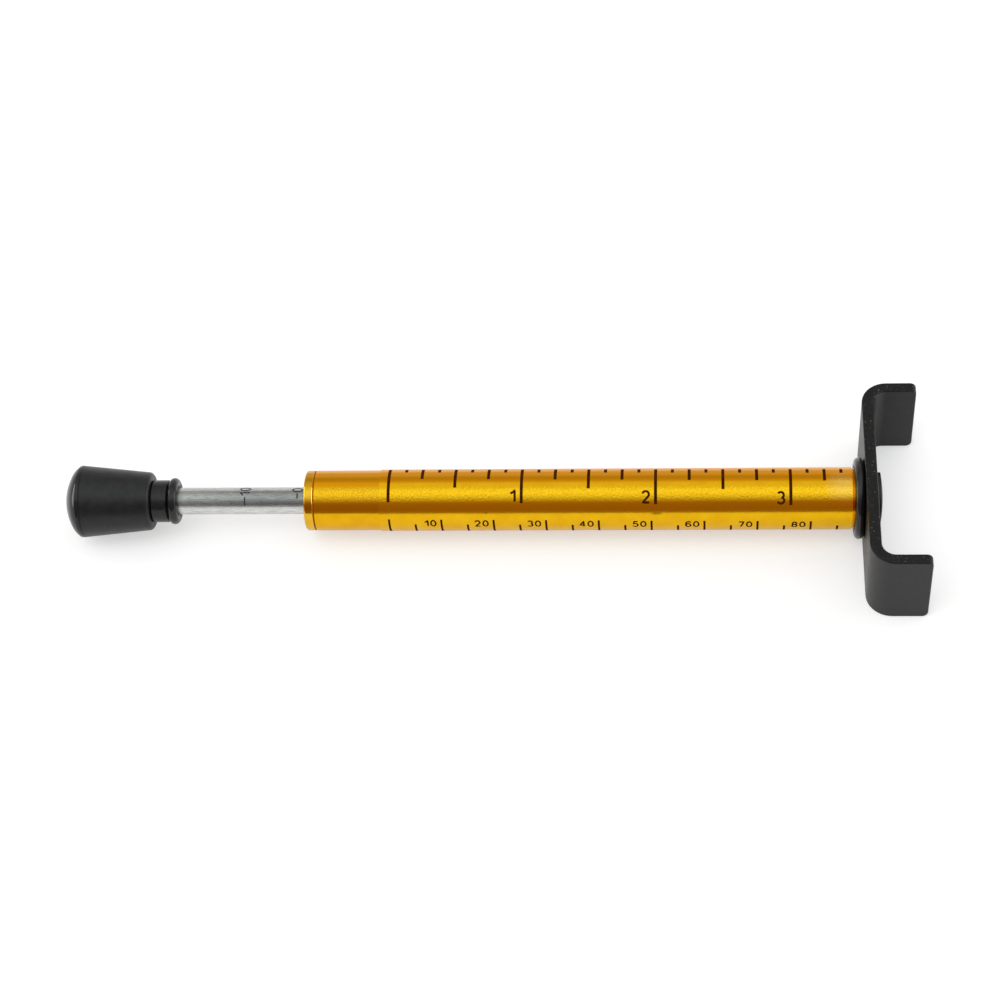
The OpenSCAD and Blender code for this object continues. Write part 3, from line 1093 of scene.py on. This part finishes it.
@dataclass
class DeflectionScale:
    """Printed scales on the barrel's film: inches on the reading side, millimetres below it.

    Attributes:
        print_on: The film's printed surface.
        zero_x: Place of both zero marks.
        inch: Length of an inch.
        eighths: Number of eighths that the inch scale shows.
        mark_width: Width of a mark.
        base_deg: Angle at which the inch marks start.
        digit_height: Height of the numerals.
        digit_gap: Clear width between a numeral and its mark.
        digit_base_deg: Angle of the foot of the inch numerals.
        askew_deg: Turn of the film in an inch, because it was put on a little askew.
        straight: Place along the scale at which it isn't turned.
        metric_step: Distance between two marks of the millimetre scale.
        metric_count: Number of its marks past zero.
        metric_width: Width of such a mark.
        metric_base_deg: Angle at which the millimetre marks start, below the barrel.
        metric_long_deg: Angle at which every second one of them ends.
        metric_short_deg: Angle at which the others end.
        metric_digit_deg: Angle of the foot of the millimetre numerals.
        metric_digit_height: Height of those numerals.
    """

    print_on: RoundPrint
    zero_x: float
    inch: float = 25.4 * MM
    eighths: int = 27
    mark_width: float = 0.58 * MM
    base_deg: float = 74.5
    digit_height: float = 2.6 * MM
    digit_gap: float = 0.75 * MM
    digit_base_deg: float = -6.5
    askew_deg: float = 2.8
    straight: float = 33 * MM
    metric_step: float = 5 * MM
    metric_count: int = 17
    metric_width: float = 0.4 * MM
    metric_base_deg: float = -130.0
    metric_long_deg: float = -42.0
    metric_short_deg: float = -55.0
    metric_digit_deg: float = -61.0
    metric_digit_height: float = 1.9 * MM

    def along(self, shift: float) -> Matrix:
        """Move print along the film, as the film lies.

        Args:
            shift: Distance from the zero mark.

        Returns:
            The move from the zero mark to that place.
        """
        turn = math.radians(self.askew_deg) * (shift - self.straight) / self.inch
        axis = Matrix.Translation((0, 0, self.print_on.axis_z))
        turned = axis @ Matrix.Rotation(turn, 4, "X") @ axis.inverted()
        return Matrix.Translation((shift, 0, 0)) @ turned

    def division(self, eighth: int) -> Division:
        """Name the division that an eighth of the scale falls on.

        Args:
            eighth: Number of eighths from zero.

        Returns:
            The coarsest division at that place.
        """
        if eighth % 8 == 0:
            return Division.WHOLE
        if eighth % 4 == 0:
            return Division.HALF
        return Division.QUARTER if eighth % 2 == 0 else Division.EIGHTH

    def left_of_mark(self, number: Piece, mark_width: float) -> Matrix:
        """Set a numeral out to the left of the zero mark.

        Args:
            number: The numeral.
            mark_width: Width of its mark.

        Returns:
            The move that puts it there.
        """
        right = self.zero_x - mark_width / 2 - self.digit_gap
        widest = max(vertex.co.x for vertex in number.data.vertices)
        return Matrix.Translation((right - widest, 0, 0))

    def inch_marks(self) -> Piece:
        """Model one mark of each division and copy it along the film.

        Returns:
            All the inch marks as one piece.
        """
        models = {
            kind: self.print_on.mark(
                "mark_" + kind.name.lower(), self.zero_x, self.mark_width,
                kind.value, self.base_deg,
            )
            for kind in Division
        }
        marks = [
            copy_moved(models[self.division(n)], self.along(n * self.inch / 8))
            for n in range(self.eighths + 1)
        ]
        for model in models.values():
            bpy.data.objects.remove(model)
        return join(marks, "inch_marks")

    def inch_numerals(self) -> Piece:
        """Print a number to the left of each whole inch.

        Returns:
            The inch numerals as one piece.
        """
        numbers = []
        for count in range(1, self.eighths // 8 + 1):
            number = self.print_on.numeral(
                str(count), self.digit_height, 0.0, self.digit_base_deg, Reading.ALONG
            )
            number.data.transform(self.left_of_mark(number, self.mark_width))
            number.data.transform(self.along(count * self.inch))
            numbers.append(number)
        return join(numbers, "inch_numerals")

    def metric_marks(self) -> Piece:
        """Copy a long and a short mark along the lower side of the film.

        Returns:
            All the millimetre marks as one piece.
        """
        models = [
            self.print_on.mark(
                "metric_mark", self.zero_x, self.metric_width, self.metric_base_deg, end_deg
            )
            for end_deg in (self.metric_long_deg, self.metric_short_deg)
        ]
        marks = [
            copy_moved(models[n % 2], self.along(n * self.metric_step))
            for n in range(self.metric_count + 1)
        ]
        for model in models:
            bpy.data.objects.remove(model)
        return join(marks, "metric_marks")

    def metric_numerals(self) -> Piece:
        """Print the millimetres to the left of each long mark past zero.

        Returns:
            The millimetre numerals as one piece.
        """
        numbers = []
        for n in range(2, self.metric_count + 1, 2):
            value = round(n * self.metric_step / MM)
            number = self.print_on.numeral(
                str(value), self.metric_digit_height, 0.0, self.metric_digit_deg, Reading.ALONG
            )
            number.data.transform(self.left_of_mark(number, self.metric_width))
            number.data.transform(self.along(n * self.metric_step))
            numbers.append(number)
        return join(numbers, "metric_numerals")

    def build(self) -> None:
        """Print both scales on the barrel."""
        for piece in (
            self.inch_marks(), self.inch_numerals(), self.metric_marks(), self.metric_numerals(),
        ):
            dress(piece, INK)
            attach(piece, "barrel")
            LOG.info("printed %s", piece.name)


@dataclass(frozen=True)
class ForceEntry:
    """One force printed on the rod.

    Attributes:
        value: The force.
        shift: Place of its mark from the zero mark.
        mark_deg: Angle at which its mark starts.
        sweep_deg: Length of its mark round the rod.
        digits_deg: Angle at which its number starts.
    """

    value: int
    shift: float
    mark_deg: float
    sweep_deg: float
    digits_deg: float


@dataclass
class ForceScale:
    """Marks and numerals of the force scale on the plunger's rod.

    Attributes:
        print_on: The rod's surface.
        zero_x: Place of the zero mark, which shows at the barrel's mouth.
        mark_width: Width of a mark.
        digit_height: Height of the digits.
        entries: The forces that are printed.
    """

    print_on: RoundPrint
    zero_x: float
    mark_width: float = 0.26 * MM
    digit_height: float = 2.15 * MM
    entries: tuple[ForceEntry, ...] = (
        ForceEntry(0, 0.0, 9.0, 22.7, 39.0),
        ForceEntry(10, -10.17 * MM, -20.5, 37.0, 20.0),
    )

    def build(self) -> None:
        """Print the scale on the rod."""
        printed = []
        for entry in self.entries:
            x = self.zero_x + entry.shift
            printed.append(self.print_on.mark(
                "force_mark", x, self.mark_width, entry.mark_deg, entry.mark_deg + entry.sweep_deg
            ))
            printed.append(self.print_on.numeral(
                str(entry.value), self.digit_height, x + self.digit_height / 2,
                entry.digits_deg, Reading.AROUND,
            ))
        piece = join(printed, "force_scale")
        dress(piece, WORN_INK)
        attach(piece, "plunger")
        LOG.info("printed %s", piece.name)


@dataclass
class Barrel:
    """The gold barrel with its bush, film and plug, and the springing inside it.

    Attributes:
        turns: Turns of the main spring.
        wire: Thickness of the spring's wire.
        wire_sides: Sides of the modelled wire.
        turn_steps: Steps of one modelled turn.
        wire_edge_deg: Angle past which an edge of the wire stays sharp.
        zero_inset: Distance from the film's edge to the zero mark.
        seam_width: Width of the dark ring of painted shade between the bush and the tube.
        seam_depth: How far it lies under the tube's surface.
        seam_thickness: Thickness of that ring.
        seam_sides: Sides of its ring.
        seam_edge_deg: Angle past which an edge of that ring stays sharp.
    """

    turns: int = 22
    wire: float = 1.4 * MM
    wire_sides: int = 12
    turn_steps: int = 36
    wire_edge_deg: float = 60.0
    zero_inset: float = 1.78 * MM
    seam_width: float = 0.22 * MM
    seam_depth: float = 0.08 * MM
    seam_thickness: float = 0.04 * MM
    seam_sides: int = 128
    seam_edge_deg: float = 40.0

    def build(self) -> None:
        """Dress the barrel, wind its spring and print its scales."""
        dress_nodes({
            "barrel_tube": GOLD_TUBE,
            "mouth_bush": GOLD_TURNED,
            "end_plug": GOLD_TURNED,
            "scale_film": GOLD_FILM,
            "bush_bumper": INNER_RUBBER,
            "spring_seat": BRIGHT_STEEL,
            "spring_follower": BRIGHT_STEEL,
        })
        self.fill_seam()
        self.wind_spring()
        low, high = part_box("scale_film")
        surface = RoundPrint(radius=(high.y - low.y) / 2, axis_z=(high.z + low.z) / 2)
        DeflectionScale(print_on=surface, zero_x=low.x + self.zero_inset).build()

    def fill_seam(self) -> None:
        """Lay a dark ring of painted shade in the groove between the bush and the tube."""
        low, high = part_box("barrel_tube")
        clear_selection()
        bpy.ops.mesh.primitive_cylinder_add(
            vertices=self.seam_sides, radius=(high.y - low.y) / 2 - self.seam_depth,
            depth=self.seam_width, end_fill_type="NOTHING",
            location=(low.x, 0, (low.z + high.z) / 2), rotation=(0, math.pi / 2, 0),
        )
        seam = take_started("mouth_seam")
        apply_modifier(seam, "SOLIDIFY", thickness=self.seam_thickness)
        smooth(seam, self.seam_edge_deg)
        dress(seam, GROOVE_SHADE)
        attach(seam, "barrel")
        LOG.info("filled %s", seam.name)

    def wind_spring(self) -> None:
        """Screw a round wire section into a coil."""
        low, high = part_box("main_spring")
        centre_z = (low.z + high.z) / 2
        coil_radius = (high.z - low.z - self.wire) / 2
        clear_selection()
        bpy.ops.mesh.primitive_circle_add(
            vertices=self.wire_sides, radius=self.wire / 2, fill_type="NGON",
            location=(low.x + self.wire / 2, 0, coil_radius), rotation=(math.pi / 2, 0, 0),
        )
        coil = take_started("coil_spring")
        rise = (high.x - low.x - self.wire) / self.turns
        apply_modifier(
            coil, "SCREW", axis="X", screw_offset=rise, iterations=self.turns,
            steps=self.turn_steps, render_steps=self.turn_steps,
        )
        coil.data.transform(Matrix.Translation((0, 0, centre_z)))
        with editing(coil):
            close_shell()
        smooth(coil, self.wire_edge_deg)
        dress(coil, SPRING_STEEL)
        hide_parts("main_spring")
        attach(coil, "barrel")
        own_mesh(coil)
        LOG.info("wound %s", coil.name)


@dataclass
class Plunger:
    """The sliding rod with its knob, its clip and the force ring.

    Attributes:
        zero_ahead: Distance from the barrel's mouth to the zero of the force scale.
        rod_diameter: Diameter of the part of the rod that slides in the bush.
        stroke_share: Width of a printed digit's stroke as a share of its height.
        digit_width: Width of a printed digit as a share of its plain width.
    """

    zero_ahead: float = 1.63 * MM
    rod_diameter: float = 5.2 * MM
    stroke_share: float = 0.125
    digit_width: float = 0.87

    def build(self) -> None:
        """Dress the plunger and print its force scale."""
        dress_nodes({
            "plunger_rod": ZINC,
            "retaining_clip": SPRING_STEEL,
            "knob_insert": BLACK_OXIDE,
            "force_ring": RING_RUBBER,
        })
        knob = mend_dome("knob", "knob_moulding")
        dress(knob, KNOB_PLASTIC)
        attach(knob, "plunger")
        low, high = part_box("plunger_rod")
        mouth_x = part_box("mouth_bush")[0].x
        surface = RoundPrint(
            radius=self.rod_diameter / 2, axis_z=(high.z + low.z) / 2,
            stroke_share=self.stroke_share, digit_width=self.digit_width,
        )
        ForceScale(print_on=surface, zero_x=mouth_x - self.zero_ahead).build()


@dataclass
class Hook:
    """The bent strip that straddles the belt, with its rivet, its washer and the deflection ring.

    Attributes:
        thickness: Thickness of the strip.
        bend_radius: Inner radius of the two bends.
        bend_steps: Facets of a bend.
        tip_radius: Radius of the corners at the tips.
        tip_steps: Facets of such a corner.
        tip_slack: Tolerance within which an edge counts as one of a tip's.
        edge_radius: Rounding that the paint gives to the edges.
        edge_steps: Facets of that rounding.
        edge_deg: Angle past which an edge is rounded.
        smooth_deg: Angle past which an edge stays sharp after that.
        far_tip_short: How much shorter the far tab is than the near one.
        hole_diameter: Diameter of the rivet's hole.
        hole_sides: Sides of the modelled hole.
        drill_length: Length of the drill that cuts it.
        sheared: How far a face turns up or down where the sheared edge starts.
    """

    thickness: float = 2.2 * MM
    bend_radius: float = 2.6 * MM
    bend_steps: int = 14
    tip_radius: float = 1.2 * MM
    tip_steps: int = 6
    tip_slack: float = 0.022 * MM
    edge_radius: float = 0.32 * MM
    edge_steps: int = 3
    edge_deg: float = 40.0
    smooth_deg: float = 35.0
    far_tip_short: float = 0.8 * MM
    hole_diameter: float = 5.1 * MM
    hole_sides: int = 64
    drill_length: float = 6.6 * MM
    sheared: float = 0.6

    def build(self) -> None:
        """Bend the strip, and dress it and what sits on it."""
        dress_nodes({"hook_washer": NYLON, "deflection_ring": RING_RUBBER})
        rivet = mend_dome("hook_rivet", "rivet_painted")
        dress(rivet, RIVET_PAINT)
        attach(rivet, "barrel")
        strip = self.bend_strip()
        self.round_tips(strip)
        apply_modifier(
            strip, "BEVEL", width=self.edge_radius, segments=self.edge_steps,
            limit_method="ANGLE", angle_limit=math.radians(self.edge_deg), use_clamp_overlap=False,
        )
        self.drill(strip)
        apply_modifier(strip, "WEIGHTED_NORMAL", keep_sharp=True)
        self.paint(strip)
        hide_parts("hook_plate")
        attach(strip, "hook")
        LOG.info("bent %s", strip.name)

    def paint(self, strip: Piece) -> None:
        """Paint the strip, with the lumpier coat on its two sheared edges.

        Args:
            strip: The bent strip.
        """
        dress(strip, HOOK_PAINT)
        strip.data.materials.append(EDGE_PAINT.material())
        for face in strip.data.polygons:
            face.material_index = int(abs(face.normal.z) > self.sheared)

    def bend_strip(self) -> Piece:
        """Run the strip's section from the far tip, round both bends, to the near tip.

        Returns:
            The bent strip, with sharp edges.
        """
        low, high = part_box("hook_plate")
        bend_x = low.x + self.thickness + self.bend_radius
        far_x = high.x - self.far_tip_short
        far_bend_y = high.y - self.thickness - self.bend_radius
        near_bend_y = low.y + self.thickness + self.bend_radius
        clear_selection()
        bpy.ops.mesh.primitive_plane_add(
            size=1.0,
            location=(far_x, high.y - self.thickness / 2, (low.z + high.z) / 2),
            rotation=(0, math.pi / 2, 0),
        )
        strip = take_started("hook_strip", (high.z - low.z, self.thickness, 1.0))
        with editing(strip):
            self.run((bend_x - far_x, 0, 0))
            self.turn((bend_x, far_bend_y, 0))
            self.run((0, near_bend_y - far_bend_y, 0))
            self.turn((bend_x, near_bend_y, 0))
            self.run((high.x - bend_x, 0, 0))
            close_shell()
        return strip

    def run(self, shift: Point) -> None:
        """Extrude the strip's open end straight on."""
        bpy.ops.mesh.extrude_region_move(TRANSFORM_OT_translate={"value": shift})

    def turn(self, centre: Point) -> None:
        """Spin the strip's open end a quarter turn round a bend."""
        bpy.ops.mesh.spin(
            steps=self.bend_steps, angle=-math.pi / 2, center=centre, axis=(0, 0, 1)
        )

    def round_tips(self, strip: Piece) -> None:
        """Round the corners of both tips.

        Args:
            strip: The bent strip.
        """
        bend_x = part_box("hook_plate")[0].x + self.thickness + self.bend_radius

        def at_tip(edge: bmesh.types.BMEdge) -> bool:
            """Say whether an edge crosses the strip's thickness at a tip.

            Args:
                edge: Edge of the strip.

            Returns:
                True for the edges that are rounded.
            """
            start, end = (vertex.co for vertex in edge.verts)
            crosses = abs(abs(start.y - end.y) - self.thickness) < self.tip_slack
            return crosses and min(start.x, end.x) > bend_x + self.tip_slack

        with editing(strip):
            select_edges(strip, at_tip)
            bpy.ops.mesh.bevel(
                offset=self.tip_radius, segments=self.tip_steps, affect="EDGES", clamp_overlap=True
            )

    def drill(self, strip: Piece) -> None:
        """Cut the rivet's hole through the middle of the strip.

        Args:
            strip: The bent strip.
        """
        low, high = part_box("hook_plate")
        clear_selection()
        bpy.ops.mesh.primitive_cylinder_add(
            vertices=self.hole_sides, radius=self.hole_diameter / 2, depth=self.drill_length,
            location=(low.x + self.thickness / 2, 0, (low.z + high.z) / 2),
            rotation=(0, math.pi / 2, 0),
        )
        drill = take_started("drill")
        apply_modifier(strip, "BOOLEAN", operation="DIFFERENCE", object=drill, solver="EXACT")
        bpy.data.objects.remove(drill)
        smooth(strip, self.smooth_deg)


@dataclass
class Studio:
    """A pale floor under a long soft box, and the camera of the photograph.

    Attributes:
        aim: Point of the barrel's axis from which the camera is set out.
        offset: Where that point lies in the view, to the right and up.
        distance: Distance of that point in front of the camera.
        pitch_deg: Tilt of the camera from straight down.
        turn_deg: Turn of the camera about its upright.
        roll_deg: Turn of the picture.
        lens_mm: Focal length of the camera.
        sensor_mm: Width of its sensor.
        floor_size: Side of the floor.
        floor_colour: Colour of the floor.
        camera_glow: Light that the floor adds where the camera sees it.
        mirror_glow: Light that it adds where a glossy piece mirrors it.
        shade_tint: Tint of the dark side of the surround.
        box_tint: Tint of its bright side.
        surround: Brightness of the studio round the barrel's axis, from the horizon in front,
            over the top, to the horizon behind, as pairs of degrees and level.
        key_place: Where the large soft lamp hangs.
        key_size: Its width and its length.
        key_power: Its power in watts.
        key_up: Direction along which its length runs.
        side_place: Where the right one of the two lamps beside the tester hangs.
        side_size: Width and length of each of them.
        side_power: Power of each of them in watts.
        side_up: Direction along which their length runs, upright in the picture.
    """

    aim: Point = (-19.15 * MM, 0.0, 8.375 * MM)
    offset: Span = (-20.936 * MM, -0.036 * MM)
    distance: float = 484.125 * MM
    pitch_deg: float = 38.02
    turn_deg: float = 4.383
    roll_deg: float = -0.246
    lens_mm: float = 90.5
    sensor_mm: float = 36.0
    floor_size: float = 16.0
    floor_colour: str = "#CCCCCC"
    camera_glow: float = 0.46
    mirror_glow: float = 0.27
    shade_tint: str = "#FFF3EE"
    box_tint: str = "#F7FFFF"
    surround: tuple[tuple[float, float], ...] = (
        (0, 0.27), (20, 0.26), (34, 0.31), (42, 0.37), (50, 0.48), (57, 0.7), (65, 0.97),
        (73, 1.13), (81, 1.18), (89, 1.12), (97, 0.93), (106, 0.86), (120, 0.82), (132, 0.56),
        (144, 0.5), (156, 0.7), (168, 0.74), (180, 0.7),
    )
    key_place: Point = (-0.35, -0.55, 1.1)
    key_size: Span = (0.9, 0.9)
    key_power: float = 6.0
    key_up: Point = (0.0, 0.0, 1.0)
    side_place: Point = (0.6, 0.06, 0.13)
    side_size: Span = (0.14, 0.46)
    side_power: float = 0.75
    side_up: Point = (0.0, 0.79, 0.61)

    def build(self) -> None:
        """Set up the floor, the light and the camera."""
        bpy.context.scene.view_settings.view_transform = "Standard"
        self.lay_floor()
        self.light()
        self.place_camera()

    def lay_floor(self) -> None:
        """Lay a plain pale floor that keeps the shadow and shows white to the camera."""
        clear_selection()
        bpy.ops.mesh.primitive_plane_add(size=self.floor_size)
        floor = take_started("floor")
        paint = bpy.data.materials.new("studio_floor")
        tree = empty_tree(paint)
        path = add_node(tree, "ShaderNodeLightPath").outputs
        mirrored = maths(tree, "MAXIMUM", path["Is Glossy Ray"], path["Is Transmission Ray"])
        mirror = maths(tree, "MULTIPLY", mirrored, self.mirror_glow)
        glow = maths(tree, "MULTIPLY_ADD", path["Is Camera Ray"], self.camera_glow, mirror)
        white = add_node(tree, "ShaderNodeEmission", None, {"Strength": glow})
        matt = add_node(tree, "ShaderNodeBsdfDiffuse", None, {"Color": linear(self.floor_colour)})
        both = add_node(tree, "ShaderNodeAddShader", None, {
            0: white.outputs["Emission"], 1: matt.outputs["BSDF"],
        })
        add_node(tree, "ShaderNodeOutputMaterial", None, {"Surface": both.outputs["Shader"]})
        floor.data.materials.append(paint)

    def light(self) -> None:
        """Light the studio by a surround that changes only round the barrel's axis."""
        world = bpy.data.worlds.new("soft_studio")
        bpy.context.scene.world = world
        tree = empty_tree(world)
        ray = add_node(tree, "ShaderNodeTexCoord").outputs["Generated"]
        parts = axes(tree, ray)
        front = maths(tree, "MULTIPLY", parts["Y"], -1.0)
        share = maths(tree, "DIVIDE", maths(tree, "ARCTAN2", parts["Z"], front), math.pi)
        ramp = add_node(tree, "ShaderNodeValToRGB", None, {"Fac": share})
        stops = ramp.color_ramp.elements
        while len(stops) < len(self.surround):
            stops.new(0.5)
        for stop, (degrees, level) in zip(stops, self.surround):
            stop.position = degrees / 180
            stop.color = self.tinted(level)
        glow = add_node(tree, "ShaderNodeBackground", None, {"Color": ramp.outputs["Color"]})
        add_node(tree, "ShaderNodeOutputWorld", None, {"Surface": glow.outputs["Background"]})
        key = self.hang_lamp(
            "soft_key", self.key_place, self.key_size, self.key_power, self.key_up
        )
        key.visible_glossy = False
        across, back, up = self.side_place
        for name, x in (("left_side_box", -across), ("right_side_box", across)):
            self.hang_lamp(name, (x, back, up), self.side_size, self.side_power, self.side_up)

    def hang_lamp(
        self, name: str, place: Point, size: Span, power: float, up: Point
    ) -> Piece:
        """Hang a soft box that faces the origin.

        Args:
            name: Name of the lamp.
            place: Where it hangs.
            size: Its width and its length.
            power: Its power in watts.
            up: Direction along which its length runs.

        Returns:
            The lamp.
        """
        box = bpy.data.lights.new(name, "AREA")
        box.shape = "RECTANGLE"
        box.size, box.size_y = size
        box.energy = power
        lamp = put_in_scene(name, box)
        away = Vector(place).normalized()
        wide = Vector(up).cross(away).normalized()
        turned = Matrix((wide, away.cross(wide), away)).transposed()
        lamp.matrix_world = Matrix.Translation(place) @ turned.to_4x4()
        return lamp

    def tinted(self, level: float) -> Colour:
        """Tint a level of the surround: its dark side is warmer than its soft box.

        Args:
            level: Brightness of the surround.

        Returns:
            The surround's colour in linear light.
        """
        levels = [shown for _, shown in self.surround]
        share = (level - min(levels)) / (max(levels) - min(levels))
        pairs = zip(linear(self.shade_tint), linear(self.box_tint))
        red, green, blue, _ = (level * (warm + share * (cool - warm)) for warm, cool in pairs)
        return (red, green, blue, 1.0)

    def place_camera(self) -> None:
        """Put the camera where the photograph was taken from."""
        lens = bpy.data.cameras.new("photo_camera")
        lens.lens = self.lens_mm
        lens.sensor_width = self.sensor_mm
        camera = put_in_scene("photo_camera", lens)
        turned = (
            Matrix.Rotation(math.radians(self.pitch_deg), 4, "X")
            @ Matrix.Rotation(math.radians(self.turn_deg), 4, "Y")
            @ Matrix.Rotation(math.radians(self.roll_deg), 4, "Z")
        )
        seen = Vector((self.offset[0], self.offset[1], -self.distance))
        camera.matrix_world = Matrix.Translation(Vector(self.aim) - turned @ seen) @ turned
        bpy.context.scene.camera = camera


def main() -> None:
    """Build the studio and dress the tester, piece by piece."""
    logging.basicConfig(level=logging.INFO, format="%(name)s: %(message)s")
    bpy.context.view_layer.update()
    Studio().build()
    for assembly in (Barrel(), Plunger(), Hook()):
        assembly.build()
        LOG.info("finished %s", type(assembly).__name__)
    clear_selection()


if __name__ == "__main__":
    main()
